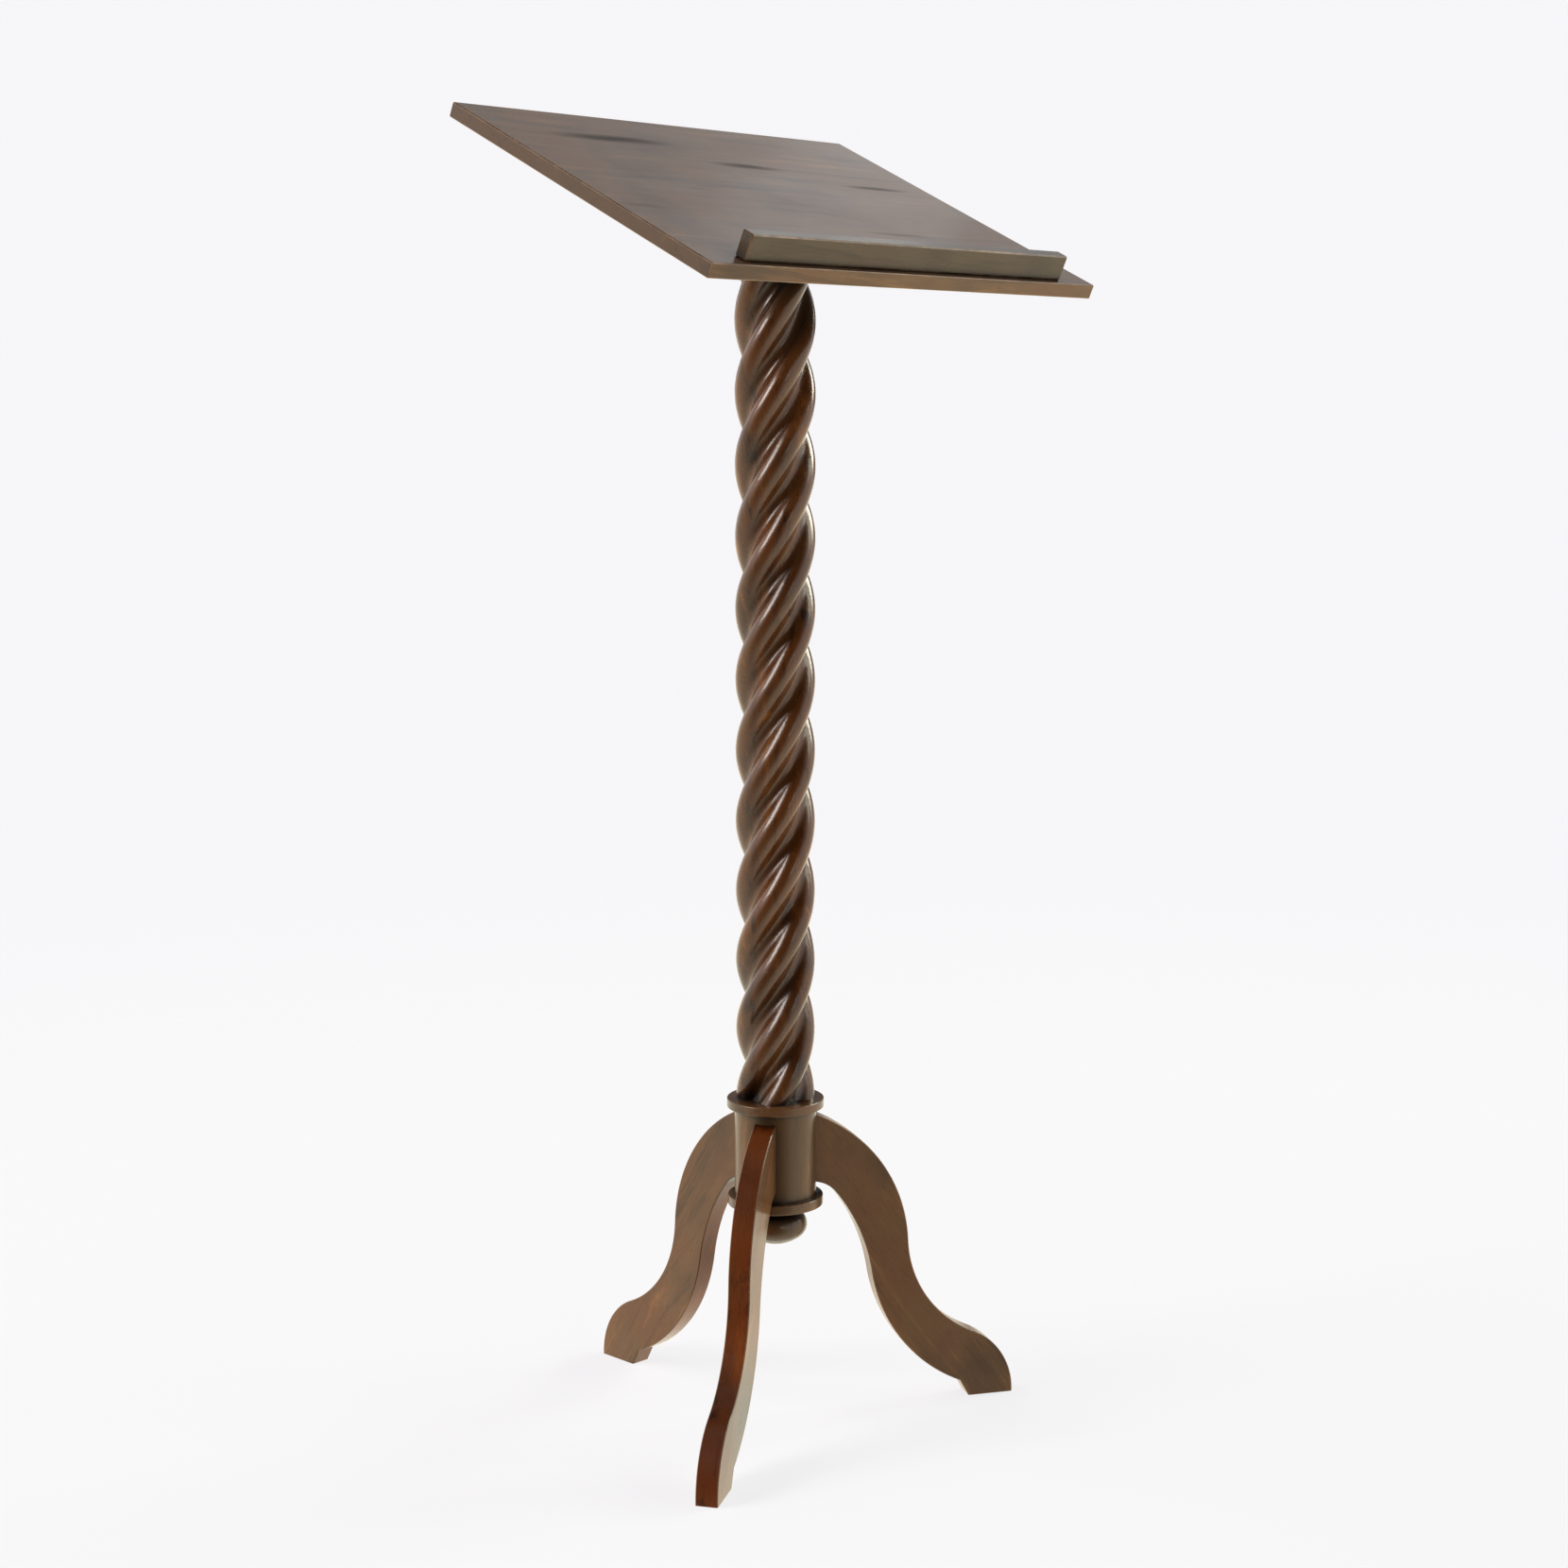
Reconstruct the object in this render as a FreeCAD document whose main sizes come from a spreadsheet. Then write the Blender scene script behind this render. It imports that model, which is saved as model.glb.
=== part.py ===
import FreeCAD, Part
import math
import os
import re
import sys

import Sketcher

# A floor-standing wooden album stand: a tilting desk on a barley-twist column with three sawn legs.
# Millimetres. The origin is where the column's axis meets the floor, +Z is up, and the ledge,
# the desk's low edge, faces -Y.

Vector = FreeCAD.Vector
Placement = FreeCAD.Placement
Rotation = FreeCAD.Rotation

X_AXIS = Vector(1, 0, 0)
Y_AXIS = Vector(0, 1, 0)
Z_AXIS = Vector(0, 0, 1)

# The driving dimensions: alias, number, meaning.
DIMENSIONS = [
    ("board_width", 466.4, "desk board, left to right"),
    ("board_depth", 341.8, "desk board, up the slope"),
    ("board_thick", 12.9, "desk board"),
    ("board_edge", 1.3, "rounding of the board's edges"),
    ("board_shift", 2.4, "board's middle, up the slope from the tilt axis"),
    ("ledge_length", 384.4, "ledge, left to right"),
    ("ledge_height", 21.9, "ledge, above the board"),
    ("ledge_thick", 12.7, "ledge, front to back"),
    ("ledge_setback", 7, "from the board's low edge to the ledge"),
    ("ledge_edge", 1.2, "bevel of the ledge's edges"),
    ("dowel_radius", 3, "ledge dowels"),
    ("dowel_spacing", 150, "between ledge dowels"),
    ("dowel_in_board", 8, "depth of the dowels in the board"),
    ("dowel_in_ledge", 12, "depth of the dowels in the ledge"),
    ("desk_tilt", 25, "slope of the desk at rest, degrees"),
    ("pivot_height", 1058.3, "tilt axis above the floor"),
    ("pivot_drop", 15, "tilt axis below the board's underside"),
    ("cheek_gap", 31.2, "between the two cheeks"),
    ("cheek_thick", 14, "each cheek"),
    ("cheek_half", 60, "half of a cheek's length"),
    ("cheek_end", 9, "height of a cheek's flat ends"),
    ("cheek_flat", 38, "from the tilt axis to a cheek's flat end"),
    ("cheek_lobe", 12, "radius of a cheek around the bolt"),
    ("screw_offset", 49, "from the tilt axis to a cheek screw"),
    ("screw_radius", 2, "shank of a cheek screw"),
    ("screw_length", 17, "cheek screw with its head"),
    ("screw_head", 4, "radius of a cheek screw's head"),
    ("bolt_radius", 4, "shank of the pivot bolt"),
    ("bolt_head", 10, "radius of the pivot bolt's head"),
    ("bolt_dome", 4, "height of the pivot bolt's head"),
    ("bolt_rim", 0.6, "straight rim of the pivot bolt's head"),
    ("bolt_tip", 0.5, "radius of the flat on top of the pivot bolt's head"),
    ("bolt_bevel", 1, "bevel of the pivot bolt's end"),
    ("bolt_square", 8, "side of the square neck"),
    ("bolt_neck", 5, "length of the square neck"),
    ("bolt_end", 48, "from the middle of the desk to the bolt's end"),
    ("running_gap", 0.08, "radial clearance of the running fit"),
    ("glue_gap", 0.1, "clearance of a glued or screwed fit"),
    ("loose_gap", 0.3, "radial clearance of the tie rod in the wood"),
    ("overshoot", 1, "how far a cut runs past the faces that it opens"),
    ("washer_thick", 1.6, "steel washers"),
    ("washer_radius", 9, "washer under the clamp knob"),
    ("disc_thick", 1.5, "leather friction discs"),
    ("disc_gap", 0.05, "between the post and a friction disc"),
    ("knob_radius", 12.5, "clamp knob"),
    ("knob_length", 12, "clamp knob"),
    ("knob_collar", 3, "length of the knob's collar"),
    ("knob_face", 8, "radius of the knob's collar and of its flat end"),
    ("knob_bevel", 1, "bevel of the knob's rim"),
    ("knob_dome", 2.5, "height of the knob's domed end"),
    ("knob_dome_radius", 9, "roundness of the knob's domed end"),
    ("scallop_radius", 2.6, "scallops in the knob's rim"),
    ("scallop_offset", 1.6, "from the knob's rim to the middle of a scallop"),
    ("post_thick", 28, "head's post between the discs"),
    ("post_width", 26, "head's post, front to back"),
    ("head_radius", 34, "round base of the head"),
    ("head_rim", 2, "height of the base's rim"),
    ("head_cove", 14, "height to the top of the cove"),
    ("cove_radius", 14, "cove of the head"),
    ("cove_inner", 19.5, "radius at the top of the cove"),
    ("pin_radius", 2.5, "peg that locks the head to the column"),
    ("pin_rise", 19, "peg above the column's top"),
    ("column_top", 1016, "top of the twist"),
    ("twist_radius", 35.1, "crest of the strands"),
    ("strand_radius", 13, "roundness of a strand"),
    ("valley_radius", 12, "hollow between two strands"),
    ("twist_lead", 249.2, "height of one full turn"),
    ("twist_phase", 43.4, "angle of a crest at the upper collar, degrees"),
    ("top_tenon_radius", 9, "tenon in the head"),
    ("top_tenon_length", 24, "tenon in the head"),
    ("foot_tenon_radius", 20, "tenon in the hub"),
    ("foot_tenon_length", 63, "tenon through the upper collar into the hub"),
    ("upper_collar_top", 293.7, "top of the upper collar"),
    ("upper_collar_thick", 8.1, "upper collar"),
    ("upper_collar_radius", 43.5, "upper collar"),
    ("hub_radius", 36.6, "hub"),
    ("hub_height", 80.7, "hub"),
    ("lower_collar_thick", 9, "lower collar"),
    ("lower_collar_radius", 42.8, "lower collar"),
    ("collar_edge", 1, "rounding of the collars"),
    ("tongue_tip", 24.6, "from the axis to the tip of a leg's dovetail"),
    ("tongue_root", 5, "half width of the dovetail at the hub's face"),
    ("tongue_wide", 7.5, "half width of the dovetail at its tip"),
    ("tongue_top", 272, "top of the dovetail above the floor"),
    ("tongue_split", 217, "where the dovetail runs on below the leg, above the floor"),
    ("tongue_root_overlap", 0.6, "how far the dovetail runs into the leg"),
    ("tongue_setback", 0.4, "from the hub's face to the dovetail below the leg"),
    ("leg_thick", 19.6, "sawn legs"),
    ("leg_edge", 0.8, "bevel of the legs' edges"),
    ("leg_inside", 34, "where the leg's outline starts, inside the hub"),
    ("leg_top", 277.6, "top of the leg at its start"),
    ("shoulder_radius", 140, "outer curve from the hub to the waist"),
    ("waist_reach", 123.3, "waist from the axis"),
    ("waist_height", 153, "waist above the floor"),
    ("calf_radius", 104.3, "outer hollow from the waist to the instep"),
    ("instep_reach", 185.7, "instep from the axis"),
    ("instep_height", 62, "instep above the floor"),
    ("toe_radius", 65, "outer curve of the foot"),
    ("toe_reach", 225.2, "tip of the foot from the axis"),
    ("heel_reach", 182.6, "back of the sole from the axis"),
    ("heel_top_reach", 174.5, "top of the heel's step"),
    ("heel_top_height", 14.8, "top of the heel's step"),
    ("under_radius", 146, "inner curve from the heel to the knee"),
    ("knee_reach", 88.7, "knee from the axis"),
    ("knee_height", 126.1, "knee above the floor"),
    ("thigh_radius", 166.8, "inner curve above the knee"),
    ("arch_reach", 54.3, "start of the small arch under the hub end"),
    ("arch_height", 203.8, "start of the small arch"),
    ("arch_radius", 30.5, "small arch under the hub end"),
    ("leg_under", 215, "underside of the leg at its start"),
    ("rod_radius", 4, "tie rod"),
    ("rod_bottom", 168, "lower end of the tie rod above the floor"),
    ("rod_length", 94, "tie rod"),
    ("insert_radius", 7, "threaded inserts"),
    ("insert_length", 12, "threaded inserts"),
    ("nut_across", 13, "tie nut across its flats"),
    ("nut_thick", 6.5, "tie nut"),
    ("tie_washer_radius", 10.5, "tie washer"),
    ("pocket_radius", 12, "recess in the finial around the nut"),
    ("pocket_depth", 9.5, "recess in the finial"),
    ("rod_end_gap", 1, "below the tie rod's lower end"),
    ("finial_radius", 28.6, "finial"),
    ("finial_height", 37.2, "finial with its neck"),
    ("finial_neck", 17.5, "radius of the finial's neck"),
    ("neck_slope_width", 3, "slope between the finial's side and its neck"),
    ("neck_slope_height", 2, "slope between the finial's side and its neck"),
    ("finial_belly", 18.1, "widest place above the finial's bottom"),
    ("belly_radius", 12.5, "roundness of the finial's side"),
    ("bottom_radius", 38.4, "roundness of the finial's bottom"),
]

ALIASES = {alias for alias, number, meaning in DIMENSIONS}
LEG_ANGLES = {"leg_back": 90, "leg_left": 210, "leg_right": 330}
STRANDS = 4
KNOB_SCALLOPS = 10
FULL_TURN = 360
TOLERANCE = 1e-3

doc = FreeCAD.newDocument("album_stand")
sheet = doc.addObject("Spreadsheet::Sheet", "Dims")
for row, (alias, number, meaning) in enumerate(DIMENSIONS, start=1):
    sheet.set(f"A{row}", meaning)
    sheet.set(f"B{row}", str(number))
    sheet.setAlias(f"B{row}", alias)
doc.recompute()


# ---------------------------------------------------------------- sizes from the sheet


def linked(text):
    """Name the sheet in an expression: 'hub_radius / 2' gives 'Dims.hub_radius / 2'."""
    return re.sub(r"[a-z_]+", lambda word: f"Dims.{word[0]}" if word[0] in ALIASES else word[0], text)


def size(text):
    """The number that an expression of the sheet's words comes to."""
    return float(sheet.evalExpression(linked(text)))


def bind(thing, **expressions):
    """Bind properties of an object to expressions of the sheet's words."""
    for name, text in expressions.items():
        thing.setExpression(name, linked(text))


def desk_place(x="0", y="0", z="0", rotation=None):
    """A placement in the desk's frame: X along the tilt axis, Y up the slope, Z out of the board."""
    tilt = Rotation(X_AXIS, size("desk_tilt"))
    desk = Placement(Vector(0, 0, size("pivot_height")), tilt)
    return desk.multiply(place(x, y, z, rotation))


def place(x="0", y="0", z="0", rotation=None):
    """A placement whose position is given by expressions."""
    return Placement(Vector(size(x), size(y), size(z)), rotation or Rotation())


# ---------------------------------------------------------------- sketches and features


def make_body(label, placement=None):
    body = doc.addObject("PartDesign::Body", label)
    body.Label = label
    if placement:
        body.Placement = placement
    return body


def make_sketch(body, role, lift=None):
    """A sketch on one of the body's own origin planes, lifted along the plane's normal."""
    sketch = body.newObject("Sketcher::SketchObject", f"{body.Label}_sketch")
    plane = next(item for item in body.Origin.OriginFeatures if item.Role == role)
    sketch.AttachmentSupport = [(plane, "")]
    sketch.MapMode = "FlatFace"
    if lift:
        sketch.AttachmentOffset = Placement(Vector(0, 0, size(lift)), Rotation())
        sketch.setExpression("AttachmentOffset.Base.z", linked(lift))
    return sketch


def drive(sketch, constraint, text):
    """Add a dimension to a sketch and bind it."""
    index = sketch.addConstraint(constraint)
    sketch.setExpression(f"Constraints[{index}]", linked(text))


def pin_point(sketch, geometry, end, x, y):
    """Hold a point of a sketch at a place given by two expressions."""
    for kind, text, axis in (("DistanceX", x, -2), ("DistanceY", y, -1)):
        number = size(text)
        if abs(number) < 1e-9:
            sketch.addConstraint(Sketcher.Constraint("PointOnObject", geometry, end, axis))
        else:
            drive(sketch, Sketcher.Constraint(kind, -1, 1, geometry, end, number), text)


def add_circle(sketch, x, y, radius):
    circle = Part.Circle(Vector(size(x), size(y), 0), Z_AXIS, size(radius))
    index = sketch.addGeometry(circle)
    pin_point(sketch, index, 3, x, y)
    drive(sketch, Sketcher.Constraint("Radius", index, size(radius)), radius)


class Outline:
    """A closed outline in a sketch, drawn point by point, with every point and radius bound."""

    def __init__(self, sketch, x, y):
        self.sketch = sketch
        self.here = (x, y)
        self.first = None
        self.last = None

    def line_to(self, x, y):
        start, end = self.spot(self.here), self.spot((x, y))
        index = self.sketch.addGeometry(Part.LineSegment(start, end))
        self.join(index, 1, 2, (x, y))
        return self

    def arc_to(self, x, y, radius, turn):
        """A minor arc that turns 'left' or 'right' on its way to the point."""
        start, end = self.spot(self.here), self.spot((x, y))
        chord = end - start
        left = Vector(-chord.y, chord.x, 0).normalize()
        height = math.sqrt(max(size(radius) ** 2 - (chord.Length / 2) ** 2, 0))
        centre = (start + end) * 0.5 + left * (height if turn == "left" else -height)
        low, high = (start, end) if turn == "left" else (end, start)
        angles = [math.atan2(spot.y - centre.y, spot.x - centre.x) for spot in (low, high)]
        if angles[1] < angles[0]:
            angles[1] += 2 * math.pi
        circle = Part.Circle(centre, Z_AXIS, size(radius))
        index = self.sketch.addGeometry(Part.ArcOfCircle(circle, *angles))
        ends = (1, 2) if turn == "left" else (2, 1)
        self.join(index, *ends, (x, y))
        drive(self.sketch, Sketcher.Constraint("Radius", index, size(radius)), radius)
        return self

    def close(self):
        """Draw the last line, back to the first point, and return its index."""
        start = self.spot(self.here)
        first = self.sketch.getPoint(*self.first)
        index = self.sketch.addGeometry(Part.LineSegment(start, first))
        self.sketch.addConstraint(Sketcher.Constraint("Coincident", *self.last, index, 1))
        self.sketch.addConstraint(Sketcher.Constraint("Coincident", index, 2, *self.first))
        return index

    def join(self, index, start, end, place_of_end):
        if self.first is None:
            self.first = (index, start)
            pin_point(self.sketch, index, start, *self.here)
        else:
            self.sketch.addConstraint(Sketcher.Constraint("Coincident", *self.last, index, start))
        pin_point(self.sketch, index, end, *place_of_end)
        self.last = (index, end)
        self.here = place_of_end

    @staticmethod
    def spot(point):
        return Vector(size(point[0]), size(point[1]), 0)


def rectangle(sketch, left, bottom, right, top):
    outline = Outline(sketch, left, bottom)
    outline.line_to(right, bottom).line_to(right, top).line_to(left, top).close()


def add_feature(body, kind, sketch, **expressions):
    """A sketch-based feature; its reach is bound by name, such as Length='hub_height'."""
    feature = body.newObject(f"PartDesign::{kind}", f"{body.Label}_{kind.lower()}")
    feature.Profile = sketch
    bind(feature, **expressions)
    return feature


def both_sides(feature):
    feature.SideType = "Symmetric"
    return feature


def cut_forward(feature):
    """Turn a pocket round, so that it cuts along its sketch's normal."""
    feature.Reversed = True
    return feature


def revolve(body, sketch, axis):
    feature = body.newObject("PartDesign::Revolution", f"{body.Label}_revolution")
    feature.Profile = sketch
    feature.ReferenceAxis = (sketch, [axis])
    feature.Angle = FULL_TURN
    return feature


def polar_pattern(body, feature, role, count):
    pattern = body.newObject("PartDesign::PolarPattern", f"{body.Label}_pattern")
    pattern.Originals = [feature]
    axis = next(item for item in body.Origin.OriginFeatures if item.Role == role)
    pattern.Axis = (axis, [""])
    pattern.Angle = FULL_TURN
    pattern.Occurrences = count
    body.Tip = pattern
    return pattern


def round_edges(body, radius, wanted, kind="Fillet"):
    """Round or bevel the edges of the body's newest feature whose middle the test accepts."""
    doc.recompute()
    base = body.Tip
    names = []
    for number, edge in enumerate(base.Shape.Edges, start=1):
        middle = edge.valueAt((edge.FirstParameter + edge.LastParameter) / 2)
        if wanted(middle, edge):
            names.append(f"Edge{number}")
    feature = body.newObject(f"PartDesign::{kind}", f"{body.Label}_{kind.lower()}")
    feature.Base = (base, names)
    bind(feature, **{"Radius" if kind == "Fillet" else "Size": radius})
    return feature


def check_cut(body, label):
    """A pocket that points away from the solid removes nothing, so the volume has to drop."""
    doc.recompute()
    features = [item for item in body.Group if item.isDerivedFrom("PartDesign::Feature")]
    before, after = features[-2].Shape.Volume, features[-1].Shape.Volume
    if after >= before - TOLERANCE:
        raise RuntimeError(f"{label} cut nothing")


# ---------------------------------------------------------------- Part primitives


def cylinder(name, radius, height, placement):
    solid = doc.addObject("Part::Cylinder", name)
    bind(solid, Radius=radius, Height=height)
    solid.Placement = placement
    return solid


def cone(name, radius_one, radius_two, height, placement):
    solid = doc.addObject("Part::Cone", name)
    bind(solid, Radius1=radius_one, Radius2=radius_two, Height=height)
    solid.Placement = placement
    return solid


def fuse(label, solids):
    result = doc.addObject("Part::MultiFuse", label)
    result.Shapes = solids
    result.Label = label
    return result


def cut(label, base, tool):
    result = doc.addObject("Part::Cut", label)
    result.Base = base
    result.Tool = tool
    result.Label = label
    return result


def group(label, solids):
    """Identical pieces that share one node."""
    result = doc.addObject("Part::Compound", label)
    result.Links = solids
    result.Label = label
    return result


def ring(label, outer, inner, thick, placement):
    """A flat washer or disc."""
    rim = cylinder(f"{label}_rim", outer, thick, placement)
    hole = cylinder(f"{label}_hole", inner, thick, placement)
    return cut(label, rim, hole)


# ---------------------------------------------------------------- the desk

LEDGE_FRONT = "board_shift - board_depth / 2 + ledge_setback"
LEDGE_MIDDLE = f"{LEDGE_FRONT} + ledge_thick / 2"
BOARD_TOP = "pivot_drop + board_thick"
CHEEK_MIDDLE = "cheek_gap / 2 + cheek_thick / 2"
SCREW_PLACES = [(side, end) for side in ("-", "") for end in ("-", "")]
DOWEL_PLACES = ["-dowel_spacing", "0", "dowel_spacing"]


def make_board():
    """The board lies on the cheeks, with pilot holes below and dowel sockets above."""
    body = make_body("board", desk_place())
    sketch = make_sketch(body, "XY_Plane", "pivot_drop")
    low, high = "board_shift - board_depth / 2", "board_shift + board_depth / 2"
    rectangle(sketch, "-board_width / 2", low, "board_width / 2", high)
    add_feature(body, "Pad", sketch, Length="board_thick")
    round_edges(body, "board_edge", lambda middle, edge: True)

    pilots = make_sketch(body, "XY_Plane", "pivot_drop")
    for side, end in SCREW_PLACES:
        add_circle(pilots, f"{side}({CHEEK_MIDDLE})", f"{end}screw_offset", "screw_radius + glue_gap")
    depth = "screw_length - cheek_end + glue_gap"
    cut_forward(add_feature(body, "Pocket", pilots, Length=depth))
    check_cut(body, "the board's pilot holes")

    sockets = make_sketch(body, "XY_Plane", BOARD_TOP)
    for x in DOWEL_PLACES:
        add_circle(sockets, x, LEDGE_MIDDLE, "dowel_radius + glue_gap")
    add_feature(body, "Pocket", sockets, Length="dowel_in_board + glue_gap")
    check_cut(body, "the board's dowel sockets")
    return body


def make_ledge():
    """The ledge stands on the board near its low edge, with bevelled edges all round."""
    body = make_body("ledge", desk_place())
    sketch = make_sketch(body, "XY_Plane", BOARD_TOP)
    back = f"{LEDGE_FRONT} + ledge_thick"
    rectangle(sketch, "-ledge_length / 2", LEDGE_FRONT, "ledge_length / 2", back)
    add_feature(body, "Pad", sketch, Length="ledge_height")
    round_edges(body, "ledge_edge", lambda middle, edge: True, "Chamfer")

    sockets = make_sketch(body, "XY_Plane", BOARD_TOP)
    for x in DOWEL_PLACES:
        add_circle(sockets, x, LEDGE_MIDDLE, "dowel_radius + glue_gap")
    cut_forward(add_feature(body, "Pocket", sockets, Length="dowel_in_ledge + glue_gap"))
    check_cut(body, "the ledge's dowel sockets")
    return body


def make_ledge_dowels():
    dowels = []
    for x in DOWEL_PLACES:
        bottom = desk_place(x, LEDGE_MIDDLE, f"{BOARD_TOP} - dowel_in_board")
        dowels.append(cylinder("ledge_dowel", "dowel_radius", "dowel_in_board + dowel_in_ledge", bottom))
    return group("ledge_dowels", dowels)


def make_cheek(label, side):
    """A cheek under the board: flat screwed ends, and a round lobe about the tilt axis."""
    body = make_body(label, desk_place())
    middle = f"{side}({CHEEK_MIDDLE})"
    sketch = make_sketch(body, "YZ_Plane", middle)
    # The lobe's flank is the tangent from the flat end's inner corner to the circle about the axis.
    reach, rise, lobe = size("cheek_flat"), size("pivot_drop - cheek_end"), size("cheek_lobe")
    distance = math.hypot(reach, rise)
    angle = math.atan2(rise, reach) - math.acos(lobe / distance)
    flank_y, flank_z = lobe * math.cos(angle), lobe * math.sin(angle)
    outline = Outline(sketch, "-cheek_half", "pivot_drop")
    outline.line_to("-cheek_half", "pivot_drop - cheek_end")
    outline.line_to("-cheek_flat", "pivot_drop - cheek_end")
    outline.line_to(f"{-flank_y}", f"{flank_z}")
    outline.arc_to(f"{flank_y}", f"{flank_z}", "cheek_lobe", "left")
    outline.line_to("cheek_flat", "pivot_drop - cheek_end")
    outline.line_to("cheek_half", "pivot_drop - cheek_end")
    outline.line_to("cheek_half", "pivot_drop")
    outline.close()
    both_sides(add_feature(body, "Pad", sketch, Length="cheek_thick"))

    bore = make_sketch(body, "YZ_Plane", middle)
    add_circle(bore, "0", "0", "bolt_radius + glue_gap")
    both_sides(add_feature(body, "Pocket", bore, Length="cheek_thick + 2 * overshoot"))
    check_cut(body, f"{label}'s bore")

    holes = make_sketch(body, "XY_Plane", "pivot_drop")
    for end in ("-", ""):
        add_circle(holes, middle, f"{end}screw_offset", "screw_radius + glue_gap")
    add_feature(body, "Pocket", holes, Length="cheek_end + overshoot")
    check_cut(body, f"{label}'s screw holes")

    for end in ("-", ""):
        sink = make_sketch(body, "YZ_Plane", middle)
        low, high = "pivot_drop - cheek_end", "pivot_drop - cheek_end + screw_head - screw_radius"
        centre = f"{end}screw_offset"
        outline = Outline(sink, centre, low)
        outline.line_to(f"{centre} + screw_head + glue_gap", low)
        outline.line_to(f"{centre} + screw_radius + glue_gap", high)
        outline.line_to(centre, high)
        axis_line = outline.close()
        groove = body.newObject("PartDesign::Groove", f"{label}_sink")
        groove.Profile = sink
        groove.ReferenceAxis = (sink, [f"Edge{axis_line + 1}"])
        groove.Angle = FULL_TURN
        check_cut(body, f"{label}'s countersink")
    return body


def make_cheek_left():
    """The left cheek also has the square recess that keeps the bolt from turning."""
    body = make_cheek("cheek_left", "-")
    recess = make_sketch(body, "YZ_Plane", "-cheek_gap / 2 - cheek_thick")
    half = "bolt_square / 2 + glue_gap"
    rectangle(recess, f"-({half})", f"-({half})", half, half)
    cut_forward(add_feature(body, "Pocket", recess, Length="bolt_neck + glue_gap"))
    check_cut(body, "the square recess")
    return body


def make_cheek_screws():
    """Countersunk screws from the cheeks' flat ends up into the board."""
    screws = []
    for side, end in SCREW_PLACES:
        x, y, z = f"{side}({CHEEK_MIDDLE})", f"{end}screw_offset", "pivot_drop - cheek_end"
        head = cone("head", "screw_head", "screw_radius", "screw_head - screw_radius", desk_place(x, y, z))
        shank = cylinder("shank", "screw_radius", "screw_length", desk_place(x, y, z))
        screws.append(fuse("screw", [head, shank]))
    return group("cheek_screws", screws)


def make_pivot_bolt():
    """A carriage bolt along the tilt axis: domed head, square neck, shank with a bevelled end."""
    body = make_body("pivot_bolt", desk_place())
    seat = "-(cheek_gap / 2 + cheek_thick)"
    sketch = make_sketch(body, "XZ_Plane")
    outline = Outline(sketch, f"{seat} - bolt_dome", "0")
    outline.line_to("bolt_end", "0")
    outline.line_to("bolt_end", "bolt_radius - bolt_bevel")
    outline.line_to("bolt_end - bolt_bevel", "bolt_radius")
    outline.line_to(seat, "bolt_radius")
    outline.line_to(seat, "bolt_head")
    dome = "(bolt_head * bolt_head + bolt_dome * bolt_dome) / (2 * bolt_dome)"
    outline.line_to(f"{seat} - bolt_rim", "bolt_head")
    outline.arc_to(f"{seat} - bolt_dome", "bolt_tip", dome, "left")
    outline.close()
    revolve(body, sketch, "H_Axis")

    neck = make_sketch(body, "YZ_Plane", seat)
    half = "bolt_square / 2"
    rectangle(neck, f"-{half}", f"-{half}", half, half)
    add_feature(body, "Pad", neck, Length="bolt_neck")
    return body


def make_friction_discs():
    """Leather discs between the head's post and the cheeks."""
    along_x = Rotation(Y_AXIS, 90)
    starts = ["-post_thick / 2 - disc_thick - disc_gap", "post_thick / 2 + disc_gap"]
    discs = []
    for start in starts:
        place_of_disc = desk_place(start, rotation=along_x)
        discs.append(ring("disc", "cheek_lobe", "bolt_radius + glue_gap", "disc_thick", place_of_disc))
    return group("friction_discs", discs)


def make_pivot_washer():
    start = "cheek_gap / 2 + cheek_thick"
    placement = desk_place(start, rotation=Rotation(Y_AXIS, 90))
    return ring("pivot_washer", "washer_radius", "bolt_radius + glue_gap", "washer_thick", placement)


def make_clamp_knob():
    """A turned brass knob with a collar, a scalloped rim and a domed end."""
    body = make_body("clamp_knob", desk_place())
    start = "cheek_gap / 2 + cheek_thick + washer_thick"
    bore = "bolt_radius + running_gap"
    sketch = make_sketch(body, "XZ_Plane")
    outline = Outline(sketch, start, bore)
    outline.line_to(f"{start} + knob_length", bore)
    outline.line_to(f"{start} + knob_length", "knob_face")
    outline.arc_to(f"{start} + knob_length - knob_dome", "knob_radius", "knob_dome_radius", "left")
    outline.line_to(f"{start} + knob_collar + knob_bevel", "knob_radius")
    outline.line_to(f"{start} + knob_collar", "knob_radius - knob_bevel")
    outline.line_to(f"{start} + knob_collar", "knob_face")
    outline.line_to(start, "knob_face")
    outline.close()
    revolve(body, sketch, "H_Axis")

    scallop = make_sketch(body, "YZ_Plane", f"{start} + knob_collar - overshoot")
    add_circle(scallop, "0", "knob_radius + scallop_offset", "scallop_radius")
    notch = cut_forward(add_feature(body, "Pocket", scallop, Length="knob_length"))
    check_cut(body, "the knob's scallop")
    polar_pattern(body, notch, "X_Axis", KNOB_SCALLOPS)
    return body


# ---------------------------------------------------------------- the head and the column


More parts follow.
